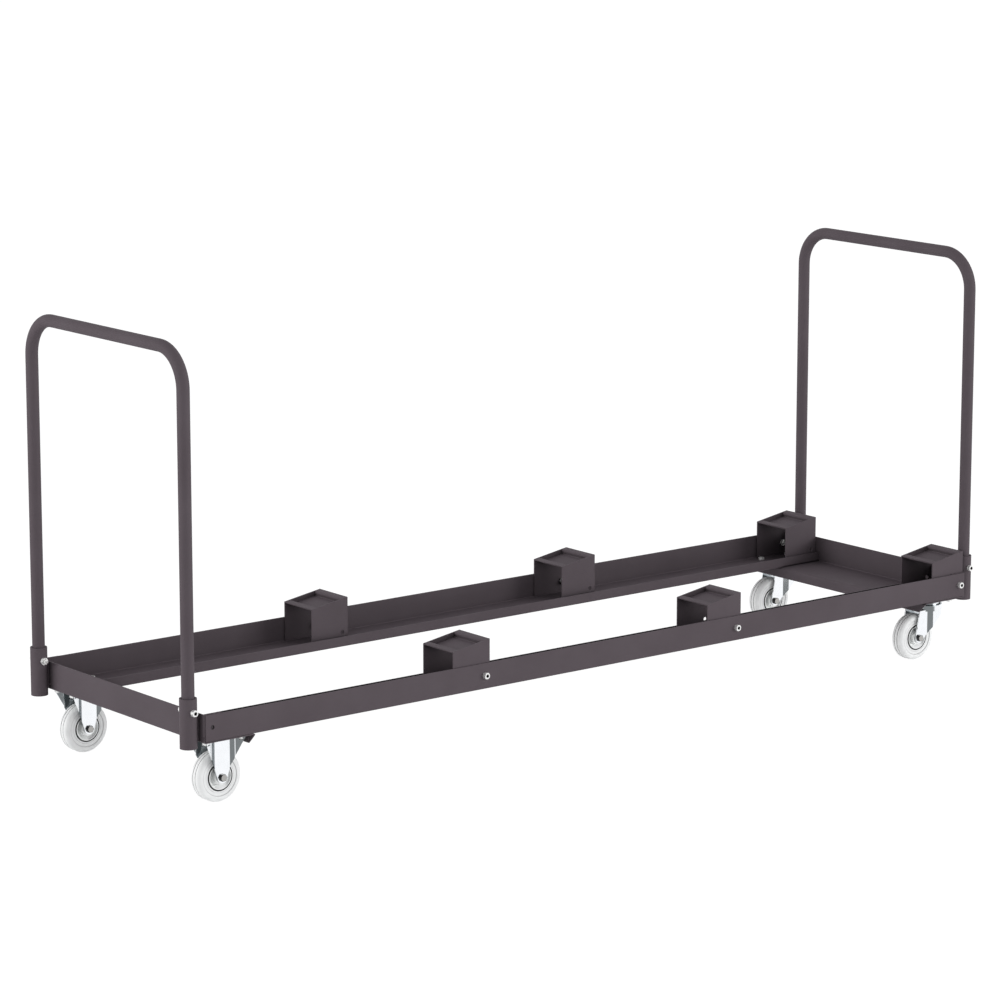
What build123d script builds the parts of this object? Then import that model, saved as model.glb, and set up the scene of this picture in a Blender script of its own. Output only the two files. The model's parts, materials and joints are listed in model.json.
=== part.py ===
from build123d import *

import os
from math import atan2, degrees, hypot, sqrt

# Stacking chair cart, in millimetres. X runs along the cart towards its swivel casters, Y goes
# from the front rail to the back rail and Z is up. The origin lies on the floor under the frame.

# Frame
frame_length = 1992.0  # over the outer faces of the end walls
frame_width = 574.0  # over the outer faces of the side rails
bend_radius = 2.0  # inside radius of the folded sheet

# End trays: a wall, a floor, a lip that hangs down and two flanges along the rails
tray_sheet = 2.5
tray_depth = 117.0
tray_wall_height = 56.5
tray_lip_height = 22.5
tray_lip_cut = 20.0  # each end of the lip is cut back by this much at the bottom
tray_flange_length = 40.0
tray_flange_lift = 12.0  # flange above the underside of the floor

# Side rails: lipped channels that lie on the trays
rail_sheet = 2.5
rail_end_gap = 3.0  # rail's end behind the outer face of the end wall
rail_height = 52.8
rail_width = 113.0
rail_lip_height = 21.3

# Chair risers: open boxes with a sloping top that has a sunk pad
riser_length = 90.5
riser_side_gap = 8.0  # least gap to the rail's lip
riser_sheet = 2.5
riser_low_height = 83.2
riser_high_height = 97.7
riser_ridge = 16.0  # width of the top on each side of the pad
riser_pad_depth = 10.0
riser_pitch_right = 646.5
riser_pitch_left = 661.4

# Handles and their sockets
socket_diameter = 33.7
socket_wall = 3.2
socket_length = 96.5
socket_drop = 9.0  # socket's lower end under the tray
socket_standoff = 2.0  # gap to the end wall, filled by the weld strip
socket_side_inset = 26.0  # socket's middle from the outer face of the side rail
socket_strip_width = 12.0
handle_diameter = 25.0
handle_wall = 2.0
handle_height = 887.5  # floor to the top of the tube
handle_bend_radius = 75.0
handle_insertion = 90.0

# Frame bolts
bolt_diameter = 8.0
bolt_clearance = 1.0  # added to the diameter for holes in sheet
tube_hole_clearance = 0.6  # added to the diameter for holes in tubes and legs
thread_clearance = 0.2  # added to the diameter for nuts
cap_head_diameter = 13.0
cap_head_height = 8.0
cap_socket_width = 6.0
cap_socket_depth = 4.0
hex_width = 13.0
hex_head_height = 5.3
nut_height = 6.5
rail_bolt_height = 25.5  # riser bolts above the rail floor
rail_bolt_inset = 13.5  # riser bolts from the right end of their riser
handle_bolt_drop = 25.5  # handle bolts under the top of the socket
handle_bolt_length = 45.0
riser_bolt_length = 20.0
caster_bolt_length = 16.0

# Axle bolts
axle_diameter = 8.0
axle_hex_width = 13.0
axle_head_height = 5.3
axle_nut_height = 6.5
axle_end = 1.0  # bolt's end outside the nut

# Casters
caster_height = 131.0
caster_inset = 61.5  # plate centre from the outer face of the end wall
caster_side_inset = 56.0  # plate centre from the outer face of the side rail
plate_length = 98.0
plate_width = 85.0
plate_sheet = 3.0
plate_corner = 8.0
plate_hole_spacing_x = 80.0
plate_hole_spacing_y = 55.0
leg_sheet = 3.0
leg_gap = 40.0  # between the legs at the axle
leg_eye_radius = 11.0  # rounded lower end of a leg
leg_flat = 35.0  # width of the flat band over the axle
leg_joggle = 5.0  # the legs step out by this much beside the flat band
leg_joggle_run = 6.5  # length of that step on the rigid legs
leg_ledge = 3.0  # rigid legs between the step and the flare
leg_wing_flare = 10.0  # the rigid legs open by this much more at their edges
leg_wing_length = 45.0  # rigid legs from the axle to their edges
nut_room = 0.5  # round the nuts under the plate
leg_shoulder = 20.0  # the rigid legs narrow to the flat band at this height over the axle
trail = 41.0  # swivel casters: axle behind the king pin

# Swivel heads
head_height = 19.0  # crown of the fork to the plate
crown_gap = 6.0  # wheel top to the crown of the fork
crown_sheet = 3.0
cup_diameter = 67.4
cup_wall = 3.0
cup_height = 9.0
fork_lead = 17.5  # fork legs in front of the king pin
fork_brow = 14.0  # front edge of the legs under the crown's top
fork_back = 40.5  # crown behind the king pin
fork_flat = 22.0  # flat band of the fork legs in front of the axle
fork_joggle_run = 13.0  # length of the step on the fork legs
race_diameter = 56.0
race_hub_diameter = 36.0
cage_height = 7.9
cage_width = 8.0
king_pin_diameter = 12.0
king_pin_rim = 18.0
king_pin_rim_height = 3.0
king_pin_drop = 8.0  # king pin under the crown
washer_diameter = 40.0
washer_sheet = 3.0
running_clearance = 0.05  # radial, at whatever turns
race_clearance = 0.1

# Wheels; their diameter follows from the height of the casters
tread_width = 30.0
tread_shoulder = 9.0  # rounding of the tread's edges
shoulder_limit = 0.9  # largest share of the sidewall over its step that the rounding may take
tread_groove = 1.2
tread_groove_width = 1.6
tread_groove_spacing = 8.0
sidewall_radius = 38.0  # step in the sidewall
sidewall_step = 1.2
bead_radius = 30.0
seat_diameter = 56.0
seat_width = 20.0
hub_drum_diameter = 51.0
hub_drum_width = 31.0
hub_lip = 1.5
hub_dish_depth = 7.0
hub_boss_diameter = 28.0
hub_length = 39.0
hub_bore = 20.0
sleeve_diameter = 14.0
sleeve_clearance = 0.4
bearing_length = 38.0

# Levels and places that follow
frame_half = frame_length / 2
rail_half = frame_half - rail_end_gap
web_outside = frame_width / 2
web_inside = web_outside - rail_sheet
tray_top = caster_height + tray_sheet
rail_floor = tray_top + rail_sheet
rail_bolt_level = rail_floor + rail_bolt_height
socket_x = frame_half + socket_standoff + socket_diameter / 2
socket_bottom = caster_height - socket_drop
socket_top = socket_bottom + socket_length
handle_bolt_level = socket_top - handle_bolt_drop
caster_x = frame_half - caster_inset
caster_y = web_outside - caster_side_inset
socket_y = web_outside - socket_side_inset
riser_width = rail_width - 2 * rail_sheet - tray_sheet - riser_side_gap
plate_underside = caster_height - plate_sheet
crown_top = plate_underside - head_height
crown_underside = crown_top - crown_sheet
wheel_diameter = crown_underside - crown_gap
axle_level = wheel_diameter / 2
leg_outside = leg_gap / 2 + leg_sheet
cup_top = crown_top + cup_height
race_underside = crown_top + cage_height + race_clearance
sheet_hole = (bolt_diameter + bolt_clearance) / 2
tube_hole = (bolt_diameter + tube_hole_clearance) / 2
axle_hole = (axle_diameter + tube_hole_clearance) / 2

last_riser_end = frame_half - tray_sheet - bend_radius
riser_right_ends = [
    last_riser_end - riser_pitch_right - riser_pitch_left,
    last_riser_end - riser_pitch_right,
    last_riser_end,
]
end_bolt_x = last_riser_end - rail_bolt_inset
riser_offsets = [0.0, 0.0, tray_sheet]  # the riser at the rail's end stands inside the tray's flange
caster_places = {
    "rigid_front": (-caster_x, -caster_y),
    "rigid_back": (-caster_x, caster_y),
    "swivel_front": (caster_x, -caster_y),
    "swivel_back": (caster_x, caster_y),
}


# Shared forms


def upright(radius, low, high):
    """Round bar along Z between two levels."""
    return Pos(0, 0, low) * Cylinder(radius, high - low, align=(Align.CENTER, Align.CENTER, Align.MIN))


def crossbar(radius, length):
    """Round bar along Y about the origin."""
    return Rot(X=90) * Cylinder(radius, length)


def folded(points, sheet):
    """Edge-on face of a folded sheet that lies to the left of a line through the given points."""
    near = [Vector(*point) for point in points]
    ways = [(b - a).normalized() for a, b in zip(near, near[1:])]
    sides = [Vector(-way.Y, way.X) for way in ways]
    corners = [
        point + (a + b) * (sheet / (1 + a.dot(b)))
        for point, a, b in zip(near[1:-1], sides, sides[1:])
    ]
    far = [near[0] + sides[0] * sheet, *corners, near[-1] + sides[-1] * sheet]
    left_turns = [a.cross(b).Z > 0 for a, b in zip(ways, ways[1:])]
    near_radii = [bend_radius + sheet if left else bend_radius for left in left_turns]
    far_radii = [bend_radius if left else bend_radius + sheet for left in left_turns]
    near_line = FilletPolyline(*near, radius=near_radii)
    far_line = FilletPolyline(*far, radius=far_radii)
    ends = [Line(near_line @ 0, far_line @ 0), Line(near_line @ 1, far_line @ 1)]
    return make_face([near_line, far_line, *ends])


def spun(points):
    """Solid of revolution about Y from points that each hold a radius and a place along Y."""
    return revolve(make_face(Polyline(*points, close=True)), Axis.Y)


def mirrored_ends(points):
    """Outline from the middle plane outwards, followed by its mirror image."""
    return [*points, *[(radius, -place) for radius, place in reversed(points)]]


def both_sides(shape):
    return [shape, mirror(shape, about=Plane.XZ)]


# Fasteners, each with its bearing face at the origin and its head or nut towards +Z


def hexagon(width, height):
    return extrude(RegularPolygon(width / 2, 6, major_radius=False), height)


def cap_screw(length):
    head = upright(cap_head_diameter / 2, 0, cap_head_height)
    key = hexagon(cap_socket_width, cap_socket_depth)
    screw = head + upright(bolt_diameter / 2, -length, 0)
    return screw - Pos(0, 0, cap_head_height - cap_socket_depth) * key


def hex_bolt(diameter, width, head_height, length):
    return hexagon(width, head_height) + upright(diameter / 2, -length, 0)


def hex_nut(diameter, width, height):
    return hexagon(width, height) - upright((diameter + thread_clearance) / 2, 0, height)


def frame_nut():
    return hex_nut(bolt_diameter, hex_width, nut_height)


# Frame pieces


def end_tray():
    """Tray of the left end."""
    half_width = web_inside
    lip_path = [
        (0, tray_wall_height),
        (0, 0),
        (tray_depth - tray_sheet, 0),
        (tray_depth - tray_sheet, tray_sheet - tray_lip_height),
    ]
    side = Plane((-frame_half, half_width, caster_height), x_dir=(1, 0, 0), z_dir=(0, -1, 0))
    tray = extrude(side * folded(lip_path, tray_sheet), 2 * half_width)

    wall_height = tray_wall_height - tray_flange_lift
    wall_path = [
        (tray_flange_length, half_width),
        (0, half_width),
        (0, -half_width),
        (tray_flange_length, -half_width),
    ]
    above = Plane((-frame_half, 0, caster_height + tray_flange_lift))
    tray -= above * Box(
        tray_depth, 3 * half_width, 2 * wall_height, align=(Align.CENTER, Align.CENTER, Align.MIN)
    )
    tray += extrude(above * folded(wall_path, tray_sheet), wall_height)

    drop = tray_lip_height - tray_sheet
    corner = Polyline(
        (half_width, 0), (half_width - tray_lip_cut, -drop), (half_width, -drop), close=True
    )
    lip_plane = Plane(
        (-frame_half + tray_depth, 0, caster_height), x_dir=(0, 1, 0), z_dir=(1, 0, 0)
    )
    wedge = extrude(lip_plane * make_face(corner), -tray_sheet)
    tray -= both_sides(wedge)

    tray -= Pos(-end_bolt_x, 0, rail_bolt_level) * crossbar(sheet_hole, frame_width)
    tray -= caster_holes(-caster_x, caster_height, tray_top)
    return tray


def side_rail():
    """Rail of the front side: one folded sheet, parted along its folds into web, floor and lip."""
    path = [(0, rail_height), (0, 0), (rail_width, 0), (rail_width, rail_lip_height)]
    end = Plane((-rail_half, -web_outside, tray_top), x_dir=(0, 1, 0), z_dir=(1, 0, 0))
    rail = extrude(end * folded(path, rail_sheet), 2 * rail_half)

    # The ends are bevelled underneath to clear the rounded folds of the trays
    bevel = make_face(Polyline((0, 0), (bend_radius, 0), (0, bend_radius), close=True))
    under = Plane((-rail_half, -web_inside, tray_top), x_dir=(1, 0, 0), z_dir=(0, -1, 0))
    wedge = extrude(under * bevel, -rail_width)
    rail -= [wedge, mirror(wedge, about=Plane.YZ)]

    for bolt_x in [-end_bolt_x, *riser_bolt_places()]:
        rail -= Pos(bolt_x, -web_outside, rail_bolt_level) * crossbar(sheet_hole, 4 * rail_sheet)
    rail -= caster_holes(-caster_x, tray_top, rail_floor)
    rail -= caster_holes(caster_x, tray_top, rail_floor)

    fold = rail_sheet + bend_radius
    web_line = Plane((0, fold - web_outside, 0), z_dir=(0, 1, 0))
    lip_line = Plane((0, rail_width - fold - web_outside, 0), z_dir=(0, 1, 0))
    inner = split(rail, bisect_by=web_line, keep=Keep.TOP)
    return {
        "web": split(rail, bisect_by=web_line, keep=Keep.BOTTOM),
        "floor": split(inner, bisect_by=lip_line, keep=Keep.BOTTOM),
        "lip": split(inner, bisect_by=lip_line, keep=Keep.TOP),
    }


def caster_bolt_places(x, y):
    return [
        (x + dx * plate_hole_spacing_x / 2, y + dy * plate_hole_spacing_y / 2)
        for dx in (-1, 1)
        for dy in (-1, 1)
    ]


def caster_holes(x, low, high):
    """Cutters for the caster bolts of one end of the cart, between two levels."""
    places = caster_bolt_places(x, -caster_y) + caster_bolt_places(x, caster_y)
    return [Pos(*place, 0) * upright(sheet_hole, low, high) for place in places]


def riser_bolt_places():
    return [right_end - rail_bolt_inset for right_end in riser_right_ends]


def riser():
    """Riser with its outer wall on Y = 0, its right end on X = 0 and its foot on Z = 0."""
    rise = riser_high_height - riser_low_height
    slope = hypot(riser_length, rise)
    outline = Polyline(
        (-riser_length, 0),
        (0, 0),
        (0, riser_high_height),
        (-riser_length, riser_low_height),
        close=True,
    )
    front = Plane((0, 0, 0), x_dir=(1, 0, 0), z_dir=(0, -1, 0))
    block = extrude(front * make_face(outline), -riser_width)

    top_path = [
        (0, 0),
        (-riser_ridge, 0),
        (-riser_ridge, -riser_pad_depth),
        (riser_ridge - slope, -riser_pad_depth),
        (riser_ridge - slope, 0),
        (-slope, 0),
    ]
    tilt = Rot(Z=degrees(atan2(rise, riser_length)))
    top_face = front * (Pos(0, riser_high_height) * tilt * folded(top_path, riser_sheet))
    top = extrude(top_face, -riser_width) & block

    wall = extrude(front * make_face(outline), -riser_sheet)
    box = top + wall + Pos(0, riser_width - riser_sheet, 0) * wall
    bolt_hole = Pos(-rail_bolt_inset, riser_width / 2, rail_bolt_height)
    box -= bolt_hole * crossbar(sheet_hole, riser_width)

    # The feet are bevelled to clear the rounded folds of the rail
    bevel = make_face(Polyline((0, 0), (bend_radius, 0), (0, bend_radius), close=True))
    wedge = extrude(Plane.YZ * bevel, -riser_length)
    return box - wedge - Pos(0, riser_width, 0) * mirror(wedge, about=Plane.XZ)


def placed_riser(index):
    """Riser on the front rail."""
    return Pos(riser_right_ends[index], riser_offsets[index] - web_inside, rail_floor) * riser()


def handle_socket():
    """Socket at the left end of the front side, with the strip that joins it to the wall."""
    pipe = upright(socket_diameter / 2, socket_bottom, socket_top)
    fold = bend_radius + tray_sheet
    strip = Pos(0, 0, caster_height + fold) * Box(
        socket_diameter / 2 + socket_standoff,
        socket_strip_width,
        tray_wall_height - fold,
        align=(Align.MIN, Align.CENTER, Align.MIN),
    )
    socket = pipe + strip
    socket -= upright(socket_diameter / 2 - socket_wall, socket_bottom, socket_top)
    socket -= Pos(0, 0, handle_bolt_level) * crossbar(tube_hole, 2 * socket_diameter)
    return Pos(-socket_x, -socket_y, 0) * socket


def handle():
    """U-shaped tube of the left end."""
    level = handle_height - handle_diameter / 2
    foot = socket_top - handle_insertion
    half = socket_y
    points = [(-half, foot), (-half, level), (half, level), (half, foot)]
    end_plane = Plane((-socket_x, 0, 0), x_dir=(0, 1, 0), z_dir=(1, 0, 0))
    route = end_plane * FilletPolyline(*points, radius=handle_bend_radius)
    radius = handle_diameter / 2
    ring = Circle(radius) - Circle(radius - handle_wall)
    tube = sweep(Pos(-socket_x, -half, foot) * ring, path=route)
    return tube - Pos(-socket_x, 0, handle_bolt_level) * crossbar(tube_hole, 3 * socket_y)


# Fastener groups


def front_and_back(shapes):
    return [*shapes, *[mirror(shape, about=Plane.XZ) for shape in shapes]]


def towards_front(x, y, z, fastener):
    """Fastener on the front side with its head or nut towards the front."""
    return Pos(x, y, z) * Rot(X=90) * fastener


def towards_back(x, y, z, fastener):
    """Fastener on the front side with its head or nut towards the back."""
    return Pos(x, y, z) * Rot(X=-90) * fastener


handle_bolt_side = -socket_y - socket_diameter / 2
handle_nut_side = handle_bolt_side + socket_diameter
handle_bolts = [
    towards_front(x, handle_bolt_side, handle_bolt_level, cap_screw(handle_bolt_length))
    for x in (-socket_x, socket_x)
]
handle_nuts = [
    towards_back(x, handle_nut_side, handle_bolt_level, frame_nut()) for x in (-socket_x, socket_x)
]
riser_bolts = [
    towards_front(x, -web_outside, rail_bolt_level, cap_screw(riser_bolt_length))
    for x in riser_bolt_places()
]
riser_nuts = [
    towards_back(x, riser_sheet + offset - web_inside, rail_bolt_level, frame_nut())
    for x, offset in zip(riser_bolt_places(), riser_offsets)
]
caster_bolt_spots = [
    spot for x, y in caster_places.values() for spot in caster_bolt_places(x, y)
]
caster_bolt = hex_bolt(bolt_diameter, hex_width, hex_head_height, caster_bolt_length)
caster_nut = Rot(X=180) * frame_nut()
caster_bolts = [Pos(x, y, rail_floor) * caster_bolt for x, y in caster_bolt_spots]
caster_nuts = [Pos(x, y, plate_underside) * caster_nut for x, y in caster_bolt_spots]


# Caster pieces, each about the point of the floor under the centre of its plate


def caster_plate():
    plate = extrude(RectangleRounded(plate_length, plate_width, plate_corner), plate_sheet)
    holes = [Pos(x, y, 0) * upright(sheet_hole, 0, plate_sheet) for x, y in caster_bolt_places(0, 0)]
    return Pos(0, 0, plate_underside) * (plate - holes)


def leg(path, outline):
    """Leg on the front side of a wheel: a folded section seen from above, trimmed to a side view."""
    section = mirror(folded(path, leg_sheet), about=Plane.XZ)
    side = Plane((0, 0, 0), x_dir=(1, 0, 0), z_dir=(0, -1, 0))
    return extrude(section, plate_underside) & extrude(side * outline, plate_width)


def rigid_bracket():
    flat = leg_flat / 2
    wing_out = leg_outside + leg_joggle
    half_path = [
        (leg_wing_length, wing_out + leg_wing_flare),
        (flat + leg_joggle_run + leg_ledge, wing_out),
        (flat + leg_joggle_run, wing_out),
        (flat, leg_outside),
    ]
    path = half_path + [(-x, y) for x, y in reversed(half_path)]
    shoulder = axle_level + leg_shoulder
    upper = Polyline(
        (-leg_wing_length, plate_underside),
        (-flat, shoulder),
        (flat, shoulder),
        (leg_wing_length, plate_underside),
        close=True,
    )
    eye = Pos(0, axle_level) * Circle(leg_eye_radius)
    lower = make_hull([*eye.edges(), Line((-flat, shoulder), (flat, shoulder))])
    legs = both_sides(leg(path, make_face(upper) + lower))

    # The wings are notched round the nuts of the plate
    low = min(plate_underside - nut_height, rail_floor - caster_bolt_length) - nut_room
    notches = [
        Pos(x, y, 0) * upright(hex_width / sqrt(3) + nut_room, low, plate_underside)
        for x, y in caster_bolt_places(0, 0)
    ]
    bracket = caster_plate() + [side - notches for side in legs]
    return bracket - Pos(0, 0, axle_level) * crossbar(axle_hole, plate_width)


def swivel_plate():
    """Top plate with the upper race pressed under it."""
    race = upright(race_diameter / 2, race_underside, plate_underside)
    hub = upright(race_hub_diameter / 2, crown_top + race_clearance, plate_underside)
    bore = upright(king_pin_diameter / 2 + running_clearance, crown_top, caster_height)
    seat = upright(king_pin_rim / 2 + running_clearance, caster_height - king_pin_rim_height, caster_height)
    return caster_plate() + race + hub - bore - seat


def king_pin():
    pin = upright(king_pin_diameter / 2, crown_underside - king_pin_drop, caster_height)
    rim = upright(king_pin_rim / 2, caster_height - king_pin_rim_height, caster_height)
    foot = upright(
        king_pin_rim / 2, crown_underside - king_pin_drop, crown_underside - washer_sheet
    )
    return pin + rim + foot


def swivel_washer():
    washer = upright(washer_diameter / 2, crown_underside - washer_sheet, crown_underside)
    bore = king_pin_diameter / 2 + running_clearance
    return washer - upright(bore, crown_underside - washer_sheet, crown_underside)


def ball_cage():
    middle = (race_hub_diameter + cup_diameter - 2 * cup_wall) / 4
    outer = upright(middle + cage_width / 2, crown_top, crown_top + cage_height)
    return outer - upright(middle - cage_width / 2, crown_top, crown_top + cage_height)


def swivel_fork():
    cup_radius = cup_diameter / 2
    wing_out = leg_outside + leg_joggle
    joggle_end = fork_flat - trail
    path = [
        (fork_lead, wing_out),
        (joggle_end + fork_joggle_run, wing_out),
        (joggle_end, leg_outside),
        (-trail - leg_eye_radius - leg_sheet, leg_outside),
    ]
    eye = Pos(-trail, axle_level) * Circle(leg_eye_radius)
    brow = [(-fork_back, crown_top), (fork_lead, crown_top), (fork_lead, crown_top - fork_brow)]
    outline = make_hull([*eye.edges(), *Polyline(*brow).edges()])
    legs = both_sides(leg(path, outline))

    back = Pos(-fork_back / 2, 0) * Rectangle(fork_back, 2 * leg_outside)
    crown = Pos(0, 0, crown_underside) * extrude(back + Circle(cup_radius), crown_sheet)
    cup = upright(cup_radius, crown_top, cup_top) - upright(cup_radius - cup_wall, crown_top, cup_top)
    pin_hole = upright(king_pin_diameter / 2 + running_clearance, crown_underside, crown_top)
    eye_holes = Pos(-trail, 0, axle_level) * crossbar(axle_hole, plate_width)
    return crown + cup + legs - pin_hole - eye_holes


# Axles and wheels, each about the middle of its axle


def axle_bolt():
    length = 2 * leg_outside + axle_nut_height + axle_end
    bolt = hex_bolt(axle_diameter, axle_hex_width, axle_head_height, length)
    return Pos(0, -leg_outside, 0) * Rot(X=90) * bolt


def axle_nut():
    nut = hex_nut(axle_diameter, axle_hex_width, axle_nut_height)
    return Pos(0, leg_outside, 0) * Rot(X=-90) * nut


def axle_sleeve():
    return crossbar(sleeve_diameter / 2, leg_gap) - crossbar(
        (axle_diameter + sleeve_clearance) / 2, leg_gap
    )


def bearing():
    outer = crossbar(hub_bore / 2 - running_clearance, bearing_length)
    return outer - crossbar(sleeve_diameter / 2 + running_clearance, bearing_length)


def hub():
    boss = hub_boss_diameter / 2
    drum = hub_drum_diameter / 2
    dish = hub_drum_width / 2 - hub_dish_depth
    half = [
        (seat_diameter / 2, seat_width / 2),
        (drum, seat_width / 2),
        (drum, hub_drum_width / 2),
        (drum - hub_lip, hub_drum_width / 2),
        (boss + hub_lip, dish),
        (boss, dish),
        (boss, hub_length / 2),
        (hub_bore / 2, hub_length / 2),
    ]
    return spun(mirrored_ends(half))


def tyre():
    radius = wheel_diameter / 2
    side = tread_width / 2
    groove = tread_groove_spacing / 2
    half = [
        (radius, groove - tread_groove_width / 2),
        (radius - tread_groove, groove),
        (radius, groove + tread_groove_width / 2),
        (radius, side),
        (sidewall_radius, side),
        (sidewall_radius, side - sidewall_step),
        (bead_radius, side - sidewall_step),
        (seat_diameter / 2, side),
    ]
    profile = make_face(Polyline(*mirrored_ends(half), close=True))
    far_corners = profile.vertices().group_by(Axis.X)[-1].sort_by(Axis.Y)
    rounding = min(tread_shoulder, (radius - sidewall_radius) * shoulder_limit)
    profile = fillet([far_corners[0], far_corners[-1]], rounding)
    return revolve(profile, Axis.Y)


# The pieces under their names
pieces = {}
left_tray = end_tray()
pieces["end_tray_left"] = left_tray
pieces["end_tray_right"] = mirror(left_tray, about=Plane.YZ)
for name, strip in side_rail().items():
    pieces[f"side_rail_front_{name}"] = strip
    pieces[f"side_rail_back_{name}"] = mirror(strip, about=Plane.XZ)
socket = handle_socket()
pieces["handle_socket_left_front"] = socket
pieces["handle_socket_left_back"] = mirror(socket, about=Plane.XZ)
pieces["handle_socket_right_front"] = mirror(socket, about=Plane.YZ)
pieces["handle_socket_right_back"] = Rot(Z=180) * socket
left_handle = handle()
pieces["handle_left"] = left_handle
pieces["handle_right"] = Pos(2 * socket_x, 0, 0) * left_handle
for index in range(3):
    front_riser = placed_riser(index)
    pieces[f"riser_front_{index + 1}"] = front_riser
    pieces[f"riser_back_{index + 1}"] = mirror(front_riser, about=Plane.XZ)
pieces["handle_bolts"] = Compound(front_and_back(handle_bolts))
pieces["handle_nuts"] = Compound(front_and_back(handle_nuts))
pieces["riser_bolts"] = Compound(front_and_back(riser_bolts))
pieces["riser_nuts"] = Compound(front_and_back(riser_nuts))
pieces["caster_bolts"] = Compound(caster_bolts)
pieces["caster_nuts"] = Compound(caster_nuts)

rigid_axles = [Pos(-caster_x, y, axle_level) for y in (-caster_y, caster_y)]
pieces["rigid_axle_bolts"] = Compound([place * axle_bolt() for place in rigid_axles])
pieces["rigid_axle_nuts"] = Compound([place * axle_nut() for place in rigid_axles])
pieces["rigid_axle_sleeves"] = Compound([place * axle_sleeve() for place in rigid_axles])
for name, (x, y) in caster_places.items():
    centre = Pos(x, y, 0)
    axle = Pos(x, y, axle_level)
    if name.startswith("rigid"):
        pieces[f"{name}_bracket"] = centre * rigid_bracket()
    else:
        axle = Pos(x - trail, y, axle_level)
        pieces[f"{name}_plate"] = centre * swivel_plate()
        pieces[f"{name}_king_pin"] = centre * king_pin()
        pieces[f"{name}_washer"] = centre * swivel_washer()
        pieces[f"{name}_ball_cage"] = centre * ball_cage()
        pieces[f"{name}_fork"] = centre * swivel_fork()
        pieces[f"{name}_axle_bolt"] = axle * axle_bolt()
        pieces[f"{name}_axle_nut"] = axle * axle_nut()
        pieces[f"{name}_axle_sleeve"] = axle * axle_sleeve()
    pieces[f"{name}_bearing"] = axle * bearing()
    pieces[f"{name}_hub"] = axle * hub()
    pieces[f"{name}_tyre"] = axle * tyre()

os.makedirs("parts", exist_ok=True)
for name, shape in pieces.items():
    export_step(shape, f"parts/{name}.step")
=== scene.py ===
import json
from math import cos, pi, radians, sin, tan

import bpy
from mathutils import Matrix, Vector

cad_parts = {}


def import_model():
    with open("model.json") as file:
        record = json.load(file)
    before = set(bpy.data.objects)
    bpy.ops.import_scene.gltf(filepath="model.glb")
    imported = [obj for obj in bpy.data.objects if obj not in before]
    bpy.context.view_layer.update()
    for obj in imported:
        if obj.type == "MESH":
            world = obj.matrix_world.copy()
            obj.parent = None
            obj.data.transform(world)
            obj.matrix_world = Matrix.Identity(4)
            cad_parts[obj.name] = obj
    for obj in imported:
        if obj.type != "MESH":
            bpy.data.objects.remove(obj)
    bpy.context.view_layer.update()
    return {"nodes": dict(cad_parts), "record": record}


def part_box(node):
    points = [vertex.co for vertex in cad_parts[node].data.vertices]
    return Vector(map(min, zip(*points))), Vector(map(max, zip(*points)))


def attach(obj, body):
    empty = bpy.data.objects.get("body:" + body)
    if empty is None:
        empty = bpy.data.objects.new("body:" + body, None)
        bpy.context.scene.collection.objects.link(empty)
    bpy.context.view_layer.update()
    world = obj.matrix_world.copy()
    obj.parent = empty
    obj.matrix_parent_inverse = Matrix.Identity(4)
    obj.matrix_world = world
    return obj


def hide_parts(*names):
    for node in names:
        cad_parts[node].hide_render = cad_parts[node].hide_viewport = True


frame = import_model()
nodes = frame["nodes"]
scene = bpy.context.scene
scene.view_settings.view_transform = "Standard"

MM = 0.001
X, Y, Z = range(3)


# Shader nodes


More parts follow.
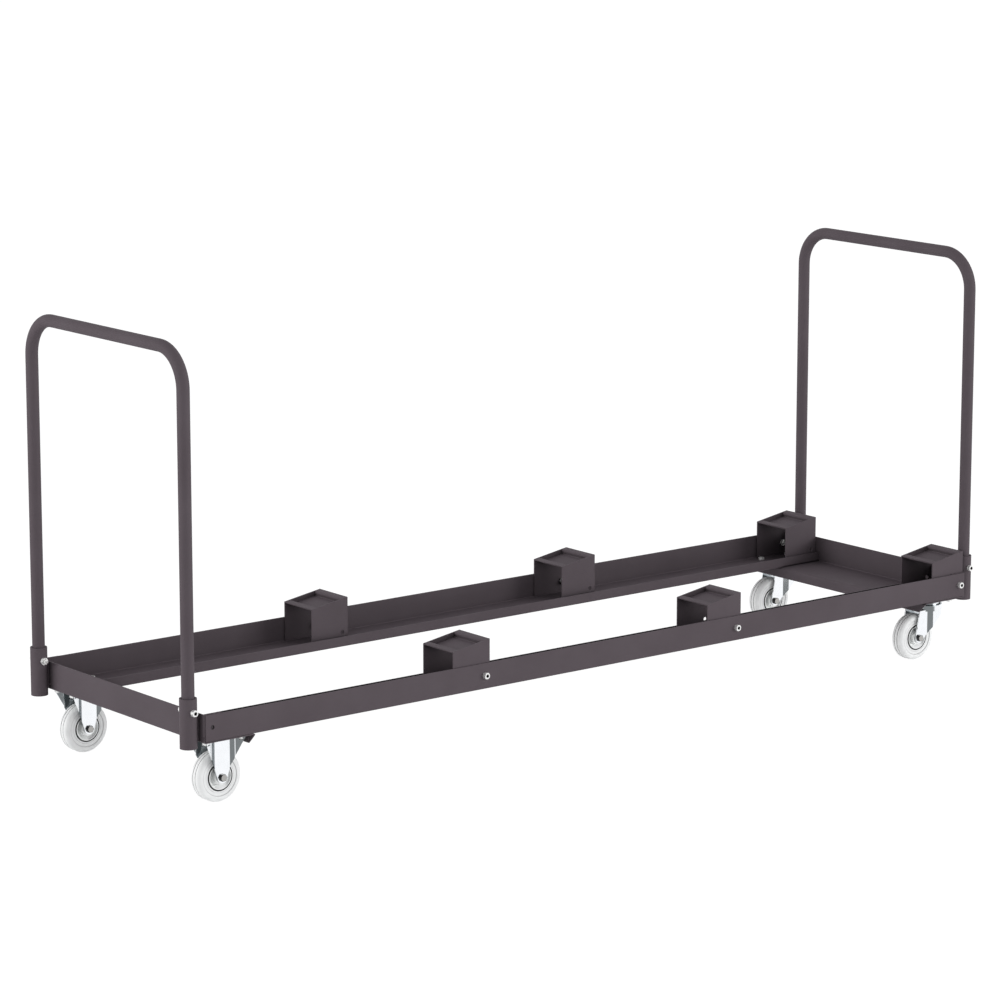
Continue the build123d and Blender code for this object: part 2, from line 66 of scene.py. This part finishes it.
class Shading:
    """Node tree of a material or world. A value or colour is a constant or the socket that makes it."""

    MIX_LOW, MIX_HIGH, MIX_RESULT = 6, 7, 2  # colour sockets of a Mix node, whose names aren't unique
    OPEN_SAMPLES = 8

    def __init__(self, owner):
        owner.use_nodes = True
        self.owner = owner
        self.tree = owner.node_tree

    def add(self, kind, **settings):
        made = self.tree.nodes.new("ShaderNode" + kind)
        for name, value in settings.items():
            setattr(made, name, value)
        return made

    def put(self, socket, value):
        """Feeds an input by a link or sets it to a constant."""
        if isinstance(value, bpy.types.NodeSocket):
            self.tree.links.new(value, socket)
        elif socket.type == "RGBA":
            socket.default_value = (*value, 1)
        else:
            socket.default_value = value

    def put_all(self, made, inputs):
        for name, value in inputs.items():
            self.put(made.inputs[name], value)

    def coordinates(self, kind):
        return self.add("TexCoord").outputs[kind]

    def component(self, vector, letter):
        made = self.add("SeparateXYZ")
        self.put(made.inputs["Vector"], vector)
        return made.outputs[letter]

    def maths(self, operation, *values):
        made = self.add("Math", operation=operation)
        for socket, value in zip(made.inputs, values):
            self.put(socket, value)
        return made.outputs["Value"]

    def vector_maths(self, operation, *vectors):
        made = self.add("VectorMath", operation=operation)
        for socket, vector in zip(made.inputs, vectors):
            self.put(socket, vector)
        return made.outputs["Value" if operation in ("DOT_PRODUCT", "LENGTH") else "Vector"]

    def noise(self, scale, detail=3.0, stretch=(1, 1, 1)):
        """Noise in the object's own metres."""
        mapping = self.add("Mapping")
        self.put_all(mapping, {"Vector": self.coordinates("Object"), "Scale": stretch})
        texture = self.add("TexNoise")
        self.put_all(texture, {"Vector": mapping.outputs["Vector"], "Scale": scale, "Detail": detail})
        return texture.outputs["Fac"]

    def ramp(self, value, low, high, start=0.3, end=0.7):
        """Colour that goes from low to high as value goes from start to end."""
        made = self.add("ValToRGB")
        for element, position, colour in zip(made.color_ramp.elements, (start, end), (low, high)):
            element.position = position
            element.color = (*colour, 1)
        self.put(made.inputs["Fac"], value)
        return made.outputs["Color"]

    def spread(self, value, low, high, start=0.25, end=0.75):
        """Number that goes from low to high as value goes from start to end."""
        made = self.add("MapRange")
        limits = {"From Min": start, "From Max": end, "To Min": low, "To Max": high}
        self.put_all(made, {"Value": value, **limits})
        return made.outputs["Result"]

    def step(self, value, start, end):
        """0 at start and 1 at end, straight between them."""
        return self.spread(value, 0.0, 1.0, start, end)

    def distance(self, value, middle):
        return self.maths("ABSOLUTE", self.maths("SUBTRACT", value, middle))

    def tint(self, factor, low, high):
        """Colour low where factor is 0 and high where it is 1."""
        made = self.add("Mix", data_type="RGBA")
        self.put(made.inputs["Factor"], factor)
        self.put(made.inputs[self.MIX_LOW], low)
        self.put(made.inputs[self.MIX_HIGH], high)
        return made.outputs[self.MIX_RESULT]

    def closed_in(self, reach, start, end):
        """1 where surfaces within reach leave a point no more open than end, 0 where more open than start."""
        made = self.add("AmbientOcclusion", samples=self.OPEN_SAMPLES)
        self.put(made.inputs["Distance"], reach)
        return self.step(made.outputs["AO"], start, end)

    def bump(self, height, depth, strength):
        made = self.add("Bump")
        self.put_all(made, {"Height": height, "Distance": depth, "Strength": strength})
        return made.outputs["Normal"]

    def about_axle(self, axle):
        """Distance from a wheel's axle and place along it from the wheel's middle, in metres."""
        from_middle = self.vector_maths("SUBTRACT", self.coordinates("Object"), axle)
        across = self.vector_maths("MULTIPLY", from_middle, (1, 0, 1))
        return self.vector_maths("LENGTH", across), self.component(from_middle, "Y")

    def shader(self, kind, *sockets, **inputs):
        """Shader of that kind; sockets feed its first inputs."""
        made = self.add(kind)
        for socket, value in zip(made.inputs, sockets):
            self.put(socket, value)
        self.put_all(made, inputs)
        return made.outputs[0]

    def surface(self, inputs):
        """Feeds the main shader and gives the finished material back."""
        self.put_all(self.tree.nodes["Principled BSDF"], inputs)
        return self.owner


# Materials


# Painted shade: the coat's colour where it is boxed in, in recesses and inside the risers
BOXED_SHADE = (0.036, 0.030, 0.033)
# Painted shade: the coat's colour on the face of a rail lip that looks towards its web
SHADED_COAT = (0.018, 0.015, 0.017)
FACING = (0.6, 0.9)  # how far a face looks to the shaded side, where its shade starts and where it is full

DULL_SHARE = 0.97  # zinc's dull clouds
# Painted shade: the zinc's colour where it is closed in, inside brackets and forks
INSIDE_SHADE = (0.30, 0.33, 0.35)
FOLD = (-27.0 * MM, -17.3 * MM)  # painted shade on the step beside a rigid leg's flat band, along X from the axle
FOLD_EDGE = 0.4 * MM
# Painted shade: the zinc's colour in that band along the fold
FOLD_SHADE = (0.15, 0.17, 0.18)
PLATE_ROOM = 8.0 * MM  # from the top of a bracket down to its legs

# Edges in a wheel: where a shade starts and where it is full
GROOVES = (5.6 * MM, 5.2 * MM)  # beside the middle of the tread
GROOVE_TOP = (49.9 * MM, 49.5 * MM)  # from the axle
TYRE_RIM = (28.3 * MM, 28.1 * MM)
HUB_SEAT = (25.3 * MM, 25.45 * MM)
# Painted shade in the tread's grooves
GROOVE_SHADE = (0.05, 0.05, 0.05)
# Painted shade in the narrow groove between the tyre's bead and the hub
RIM_SHADE = (0.010, 0.010, 0.010)
SEAT_SHADE = (0.008, 0.008, 0.008)
SIDE_RINGS = [(38.0 * MM, 0.58), (31.5 * MM, 0.64)]  # shaded lines on a tyre's side: radius and tone
RING_LINE = 1.1 * MM  # half the width of such a line
TURNED_LINES = 9000.0  # radians per metre of radius
HUB_METAL = 0.6


def powder_coat(name, shaded_side=None):
    """Satin brown-grey coat: fine grain, faint clouds; painted shade where boxed in and on a shaded side."""
    coat = Shading(bpy.data.materials.new(name))
    colour = coat.ramp(coat.noise(scale=9.0), low=(0.095, 0.078, 0.087), high=(0.107, 0.089, 0.099))
    # painted shade: darker where ambient occlusion finds the coat boxed in
    colour = coat.tint(coat.closed_in(reach=0.10, start=0.55, end=0.15), colour, BOXED_SHADE)
    # painted shade on the side of a lip that faces its web, chosen by the face's normal
    if shaded_side:
        facing = coat.vector_maths("DOT_PRODUCT", coat.coordinates("Normal"), shaded_side)
        colour = coat.tint(coat.step(facing, *FACING), colour, SHADED_COAT)
    grain = coat.noise(scale=900.0, detail=2.0)
    return coat.surface({
        "Base Color": colour,
        "Roughness": coat.spread(grain, low=0.52, high=0.66),
        "Normal": coat.bump(grain, depth=0.25 * MM, strength=0.22),
        "Specular IOR Level": 0.06,
    })


def in_fold(plate, left, right, top):
    """1 between left and right along X and below top."""
    place = plate.coordinates("Object")
    half = (right - left) / 2
    off_middle = plate.distance(plate.component(place, "X"), (left + right) / 2)
    across = plate.step(off_middle, half, half - FOLD_EDGE)
    below = plate.step(plate.component(place, "Z"), top, top - FOLD_EDGE)
    return plate.maths("MULTIPLY", across, below)


def zinc(name, tone, roughness, stretch=(1, 1, 1), metallic=1.0, inside=None, fold=None):
    """Zinc plate: faint clouds, drawn lines and a soft gloss; painted shade inside and along a fold."""
    plate = Shading(bpy.data.materials.new(name))
    dull = tuple(channel * DULL_SHARE for channel in tone)
    colour = plate.ramp(plate.noise(scale=60.0), low=dull, high=tone)
    # painted shade: darker where ambient occlusion finds the sheet closed in
    if inside:
        colour = plate.tint(plate.closed_in(reach=0.06, start=0.40, end=0.20), colour, inside)
    # painted shade: a dark band along the fold on one side of each rigid leg
    if fold:
        colour = plate.tint(in_fold(plate, *fold), colour, FOLD_SHADE)
    lines = plate.noise(scale=240.0, detail=4.0, stretch=stretch)
    return plate.surface({
        "Base Color": colour,
        "Roughness": plate.spread(lines, low=0.85 * roughness, high=1.2 * roughness),
        "Normal": plate.bump(lines, depth=0.05 * MM, strength=0.15),
        "Metallic": metallic,
    })


def plate_zinc(name, fold=None):
    """Blue-white zinc of the caster sheets."""
    return zinc(
        name, tone=(0.95, 0.97, 0.98), roughness=0.14, stretch=(1, 1, 0.08), inside=INSIDE_SHADE, fold=fold
    )


def grey_rubber(name, axle):
    """Light grey rubber: matt, with moulding bloom, painted shade lines on its sides and painted shade in
    grooves and at the rim.
    """
    tyre = Shading(bpy.data.materials.new(name))
    colour = tyre.ramp(tyre.noise(scale=45.0), low=(0.86, 0.87, 0.86), high=(0.93, 0.94, 0.93))
    radius, along = tyre.about_axle(axle)
    # painted shade in the grooves of the tread's middle
    tread = tyre.step(tyre.maths("ABSOLUTE", along), *GROOVES)
    sunk = tyre.step(radius, *GROOVE_TOP)
    colour = tyre.tint(tyre.maths("MULTIPLY", tread, sunk), colour, GROOVE_SHADE)
    for ring_radius, tone in SIDE_RINGS:
        line = tyre.step(tyre.distance(radius, ring_radius), RING_LINE, 0.0)
        colour = tyre.tint(line, colour, (tone, tone, tone))
    pores = tyre.noise(scale=1400.0, detail=2.0)
    return tyre.surface({
        # painted shade where the tyre's bore meets the hub
        "Base Color": tyre.tint(tyre.step(radius, *TYRE_RIM), colour, RIM_SHADE),
        "Roughness": tyre.spread(pores, low=0.42, high=0.58),
        "Normal": tyre.bump(pores, depth=0.12 * MM, strength=0.25),
    })


def hub_steel(name, axle):
    """Pressed hub: pale zinc with turned lines, and painted shade on its seat beside the tyre, drawn
    non-metallic.
    """
    hub = Shading(bpy.data.materials.new(name))
    clouds = hub.noise(scale=60.0)
    steel = hub.ramp(clouds, low=(0.84, 0.85, 0.84), high=(0.88, 0.89, 0.88))
    radius, _ = hub.about_axle(axle)
    # painted shade on the seat in the groove beside the tyre, which is also drawn non-metallic
    seat = hub.step(radius, *HUB_SEAT)
    bare = hub.maths("SUBTRACT", 1.0, seat)
    turned = hub.maths("SINE", hub.maths("MULTIPLY", radius, TURNED_LINES))
    return hub.surface({
        "Base Color": hub.tint(seat, steel, SEAT_SHADE),
        "Roughness": hub.spread(clouds, low=0.27, high=0.31),
        "Normal": hub.bump(turned, depth=0.01 * MM, strength=0.1),
        "Metallic": hub.maths("MULTIPLY", bare, HUB_METAL),
    })


def cage_plastic(name):
    """Dark moulded plastic with a fine grain."""
    cage = Shading(bpy.data.materials.new(name))
    grain = cage.noise(scale=700.0)
    return cage.surface({
        "Base Color": cage.ramp(grain, low=(0.012, 0.012, 0.013), high=(0.022, 0.022, 0.024)),
        "Roughness": cage.spread(grain, low=0.4, high=0.55),
    })


materials = {
    "powder_coat": powder_coat("powder_coat"),
    "zinc_plate": plate_zinc("zinc_plate"),
    "bright_zinc": zinc("bright_zinc", tone=(0.90, 0.90, 0.88), roughness=0.28, metallic=0.6),
    "axle_zinc": zinc("axle_zinc", tone=(0.42, 0.41, 0.39), roughness=0.30),
    # Dark steel painted into the cap screws' sockets and onto the axle bolt heads' sides as their shade
    "dark_steel": zinc("dark_steel", tone=(0.07, 0.07, 0.07), roughness=0.45),
    "cage_plastic": cage_plastic("cage_plastic"),
}
wheel_materials = {"grey_rubber": grey_rubber, "hub_steel": hub_steel}
# Rail lips with painted shade on the side towards their webs
lip_materials = {
    "side_rail_front_lip": powder_coat("powder_coat_front_lip", shaded_side=(0, -1, 0)),
    "side_rail_back_lip": powder_coat("powder_coat_back_lip", shaded_side=(0, 1, 0)),
}
slots = {entry["node"]: entry["material_slot"] for entry in frame["record"]["subparts"]}


def look_of(node):
    """Material of a CAD node; tyres, hubs and rigid brackets have one each, drawn about their own axle."""
    if node in lip_materials:
        return lip_materials[node]
    slot = slots[node]
    low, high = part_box(node)
    axle = tuple((a + b) / 2 for a, b in zip(low, high))
    # rigid brackets get painted shade along the fold beside their flat band
    if node.endswith("bracket"):
        left, right = (axle[X] + edge for edge in FOLD)
        return plate_zinc(f"{slot}_{node}", fold=(left, right, high[Z] - PLATE_ROOM))
    if slot in wheel_materials:
        return wheel_materials[slot](f"{slot}_{node}", axle)
    return materials[slot]


for name, node in nodes.items():
    node.data.materials.clear()
    node.data.materials.append(look_of(name))


# Fasteners


SEGMENTS = 48  # round a fastener; a multiple of 6
SHANK = 4.0 * MM  # radius of the frame and axle bolts
TIP = 0.8 * MM  # chamfer at the end of a shank
HEX_HEAD = 5.3 * MM
HEX_FACE = 0.475  # radius of the flat on a hexagon's end, as a share of its width
HEX_CHAMFER = radians(30)
NUT_GAP = 0.1 * MM  # between a shank and its nut
NUT_FLARE = 0.7 * MM  # at both ends of a nut's bore
CAP_HEAD = 8.0 * MM
CAP_EDGE = 0.7 * MM  # chamfer round the end of a cap screw's head
CAP_NICK = 0.3 * MM  # smaller chamfers of a cap screw
KEY_WIDTH = 6.0 * MM  # hex socket of the cap screws
KEY_DEPTH = 4.0 * MM
KEY_CONE = 0.9 * MM  # drilled end of the socket
# Painted shade: faces between these rings are drawn in the dark steel
KEY_RINGS = [(7, 10)]  # rings of a cap screw between which its socket lies
HEX_SIDE_RINGS = [(3, 5)]  # rings of a hex bolt between which the sides of its head lie
SAME_SPOT = 5  # decimals of a metre that corners of one solid share
SHARP = radians(25)  # edges that turn by more stay sharp


def hex_radius(width, index):
    """Distance from the middle to a hexagon's side, in the direction of one segment."""
    turn = 2 * pi * index / SEGMENTS
    from_flat = (turn + pi / 6) % (pi / 3) - pi / 6
    return width / 2 / cos(from_flat)


def ring(radius, level):
    """Closed ring of points about Z; radius and level are numbers or functions of the segment."""
    points = []
    for index in range(SEGMENTS):
        turn = 2 * pi * index / SEGMENTS
        r = radius(index) if callable(radius) else radius
        z = level(index) if callable(level) else level
        points.append((r * cos(turn), r * sin(turn), z))
    return points


def skin(rings, closed_ends):
    """Points and faces of a shape stacked from rings; its ends are capped, or joined to each other."""
    points = [point for one in rings for point in one]
    count = len(rings)
    faces = []
    for index in range(count - 1 if closed_ends else count):
        low = index * SEGMENTS
        high = (index + 1) % count * SEGMENTS
        for a in range(SEGMENTS):
            b = (a + 1) % SEGMENTS
            faces.append((low + a, low + b, high + b, high + a))
    if closed_ends:
        faces.append(tuple(range(SEGMENTS - 1, -1, -1)))
        faces.append(tuple(range((count - 1) * SEGMENTS, count * SEGMENTS)))
    return points, faces


def chamfered_hex(width, height, both=False):
    """Rings of a hexagonal head from its bearing face at 0 upwards, with its corners turned off."""
    face = HEX_FACE * width

    def corner(index):
        return hex_radius(width, index)

    def drop(index):
        return (corner(index) - face) * tan(HEX_CHAMFER)

    lower = ring(corner, drop if both else 0.0)
    upper = ring(corner, lambda index: height - drop(index))
    rings = [lower, upper, ring(face, height)]
    return [ring(face, 0.0), *rings] if both else rings


def shank(length):
    """Rings of a bolt's shank, from its tip to the head's bearing face at 0."""
    return [ring(SHANK - TIP, -length), ring(SHANK, TIP - length), ring(SHANK, 0.0)]


def hex_bolt(width, size):
    """Hex bolt of that whole size, its bearing face at 0: points, faces and the head's height."""
    rings = [*shank(size - HEX_HEAD), *chamfered_hex(width, HEX_HEAD)]
    return *skin(rings, closed_ends=True), HEX_HEAD


def hex_nut(width, size):
    """Hex nut from 0 upwards: points, faces and its height."""
    mouth = SHANK + NUT_GAP
    flared = mouth + NUT_FLARE
    bore = [(flared, size), (mouth, size - NUT_FLARE), (mouth, NUT_FLARE), (flared, 0.0)]
    rings = [*chamfered_hex(width, size, both=True), *(ring(*place) for place in bore)]
    return *skin(rings, closed_ends=False), size


def cap_screw(width, size):
    """Socket cap screw of that whole size, its bearing face at 0: points, faces and the head's height."""
    radius = width / 2

    def key(index):
        return hex_radius(KEY_WIDTH, index)

    rings = [
        *shank(size - CAP_HEAD),
        ring(radius - CAP_NICK, 0.0),
        ring(radius, CAP_NICK),
        ring(radius, CAP_HEAD - CAP_EDGE),
        ring(radius - CAP_EDGE, CAP_HEAD),
        ring(lambda index: key(index) + CAP_NICK, CAP_HEAD),
        ring(key, CAP_HEAD - CAP_NICK),
        ring(key, CAP_HEAD - KEY_DEPTH),
        ring(CAP_NICK, CAP_HEAD - KEY_DEPTH - KEY_CONE),
    ]
    return *skin(rings, closed_ends=True), CAP_HEAD


def solids_of(node):
    """Corners of the box of each separate solid in a CAD node."""
    mesh = nodes[node].data
    spots = {}
    spot_of = [spots.setdefault(tuple(round(c, SAME_SPOT) for c in v.co), len(spots)) for v in mesh.vertices]
    parent = list(range(len(spots)))

    def root(index):
        while parent[index] != index:
            parent[index] = parent[parent[index]]
            index = parent[index]
        return index

    for edge in mesh.edges:
        parent[root(spot_of[edge.vertices[0]])] = root(spot_of[edge.vertices[1]])
    groups = {}
    for spot, index in spots.items():
        groups.setdefault(root(index), []).append(Vector(spot))
    boxes = []
    for points in groups.values():
        low = Vector(min(p[axis] for p in points) for axis in (X, Y, Z))
        high = Vector(max(p[axis] for p in points) for axis in (X, Y, Z))
        boxes.append((low, high))
    return boxes


def unit(axis, sign=1.0):
    made = Vector((0, 0, 0))
    made[axis] = sign
    return made


def fasteners(node, body, axis, outward, shape, look="bright_zinc", dark_rings=()):
    """Replaces a CAD node of bolts or nuts by finer ones in the same places.

    They lie along axis; outward(middle) is the sign of the head's end; shape is one of the three above.
    """
    points, faces = [], []
    dark_faces = []
    for low, high in solids_of(node):
        middle = (low + high) / 2
        size = high - low
        flat = min((other for other in (X, Y, Z) if other != axis), key=lambda other: size[other])
        own, own_faces, head = shape(size[flat], size[axis])
        ahead = unit(axis, outward(middle))
        across = unit(flat)
        seat = middle + ahead * (size[axis] / 2 - head)
        turn = Matrix((across, ahead.cross(across), ahead)).transposed()
        # painted shade: faces between the dark rings take the dark steel
        for first, last in dark_rings:
            dark_faces += range(len(faces) + first * SEGMENTS, len(faces) + last * SEGMENTS)
        faces += [tuple(len(points) + index for index in face) for face in own_faces]
        points += [seat + turn @ Vector(point) for point in own]
    mesh = bpy.data.meshes.new(node + "_fine")
    mesh.from_pydata(points, [], faces)
    mesh.materials.append(materials[look])
    if dark_faces:
        mesh.materials.append(materials["dark_steel"])
        for index in dark_faces:
            mesh.polygons[index].material_index = 1
    mesh.shade_smooth()
    mesh.set_sharp_from_angle(angle=SHARP)
    made = bpy.data.objects.new(node + "_fine", mesh)
    scene.collection.objects.link(made)
    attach(made, body)
    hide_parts(node)


def away(middle):
    """Away from the middle of the cart, across it."""
    return 1.0 if middle.y > 0 else -1.0


def inwards(middle):
    return -away(middle)


def ahead_on_axis(middle):
    return 1.0


def back_on_axis(middle):
    return -1.0


fasteners("handle_bolts", "frame", Y, away, cap_screw, dark_rings=KEY_RINGS)
fasteners("riser_bolts", "frame", Y, away, cap_screw, dark_rings=KEY_RINGS)
fasteners("handle_nuts", "frame", Y, inwards, hex_nut)
fasteners("riser_nuts", "frame", Y, inwards, hex_nut)
fasteners("caster_bolts", "frame", Z, ahead_on_axis, hex_bolt)
fasteners("caster_nuts", "frame", Z, back_on_axis, hex_nut)
axles = [("rigid_axle_bolts", "rigid_axle_nuts", "frame")]
for side in ("front", "back"):
    axles.append((f"swivel_{side}_axle_bolt", f"swivel_{side}_axle_nut", f"fork_{side}"))
for bolt, nut, body in axles:
    fasteners(bolt, body, Y, back_on_axis, hex_bolt, "axle_zinc", HEX_SIDE_RINGS)
    fasteners(nut, body, Y, ahead_on_axis, hex_nut, "axle_zinc")


# Floor, world, lights and camera


WHITE = (1, 1, 1)
FLOOR_REACH = 40.0
FLOOR_SHADOW = (0.16, 0.16, 0.16)  # share of the light that the camera sees on the floor
FLOOR_GLOW = 0.93
ROOM_LOW = (0.92, 0.92, 0.9384)
ROOM_HIGH = (0.62, 0.62, 0.6324)
ROOM_LEVELS = (0.05, 0.80)
ROOM_IN_METAL = (1.0, 1.0, 1.02)
DIM_SIDE = (-0.42, -0.91, 0.0)  # direction of the dim side of the room
DIM_IN_METAL = (0.20, 0.21, 0.216)
DIM_EDGE = (0.62, 0.78)  # how far a direction agrees with that, where the room dims
LAMP_AIM = Vector((0, 0, 0.3))
CAMERA_PLACE = (-5.0500, -6.2770, 2.0536)
CAMERA_DIP = 11.418  # degrees below the horizon
CAMERA_TURN = -38.457  # degrees about Z
SENSOR = 36.0
FOCAL_RATIO = 3.9920  # focal length in sensor widths
VIEW_END = 200.0


def seen_directly(shading, path):
    """1 for rays that show a thing itself: from the camera or through glass."""
    return shading.maths("MAXIMUM", path["Is Camera Ray"], path["Is Transmission Ray"])


def floor():
    """Pale floor, white to the camera but for the object's soft shadow; metal sees the room through it."""
    ground = Shading(bpy.data.materials.new("floor"))
    ground.tree.nodes.remove(ground.tree.nodes["Principled BSDF"])
    path = ground.add("LightPath").outputs
    lit = ground.shader("BsdfDiffuse", Color=WHITE)
    shadow = ground.shader("BsdfDiffuse", Color=FLOOR_SHADOW)
    glow = ground.shader("Emission", Strength=FLOOR_GLOW)
    pale = ground.shader("AddShader", shadow, glow)
    solid = ground.shader("MixShader", seen_directly(ground, path), lit, pale)
    clear = ground.shader("BsdfTransparent")
    mixed = ground.shader("MixShader", path["Is Glossy Ray"], solid, clear)
    ground.put(ground.tree.nodes["Material Output"].inputs["Surface"], mixed)

    mesh = bpy.data.meshes.new("floor")
    corners = [(x * FLOOR_REACH, y * FLOOR_REACH, 0) for x, y in ((-1, -1), (1, -1), (1, 1), (-1, 1))]
    mesh.from_pydata(corners, [], [(0, 1, 2, 3)])
    mesh.materials.append(ground.owner)
    plane = bpy.data.objects.new("floor", mesh)
    scene.collection.objects.link(plane)


def world():
    """Soft room light, darker overhead; white to the camera and in metal, but for the room's dim side."""
    room = Shading(bpy.data.worlds.new("studio"))
    place = room.coordinates("Generated")
    soft = room.ramp(room.component(place, "Z"), ROOM_LOW, ROOM_HIGH, *ROOM_LEVELS)
    to_dim_side = room.vector_maths("DOT_PRODUCT", place, DIM_SIDE)
    mirrored = room.ramp(to_dim_side, ROOM_IN_METAL, DIM_IN_METAL, *DIM_EDGE)
    path = room.add("LightPath").outputs
    light = room.tint(path["Is Glossy Ray"], soft, mirrored)
    shown = room.tint(seen_directly(room, path), light, WHITE)
    room.put(room.tree.nodes["Background"].inputs["Color"], shown)
    scene.world = room.owner


def softbox(name, place, width, height, power):
    data = bpy.data.lights.new(name, "AREA")
    data.shape = "RECTANGLE"
    data.size = width
    data.size_y = height
    data.energy = power
    lamp = bpy.data.objects.new(name, data)
    lamp.location = place
    lamp.rotation_euler = (LAMP_AIM - Vector(place)).to_track_quat("-Z", "Y").to_euler()
    scene.collection.objects.link(lamp)


floor()
world()
softbox("key", place=(5.4, -7.2, 1.9), width=4.5, height=2.6, power=240)
softbox("fill", place=(-6.0, 2.6, 1.6), width=3.6, height=2.4, power=120)

camera = bpy.data.objects.new("camera", bpy.data.cameras.new("camera"))
camera.location = CAMERA_PLACE
camera.rotation_euler = (radians(90 - CAMERA_DIP), 0, radians(CAMERA_TURN))
camera.data.sensor_width = SENSOR
camera.data.lens = SENSOR * FOCAL_RATIO
camera.data.clip_end = VIEW_END
scene.collection.objects.link(camera)
scene.camera = camera
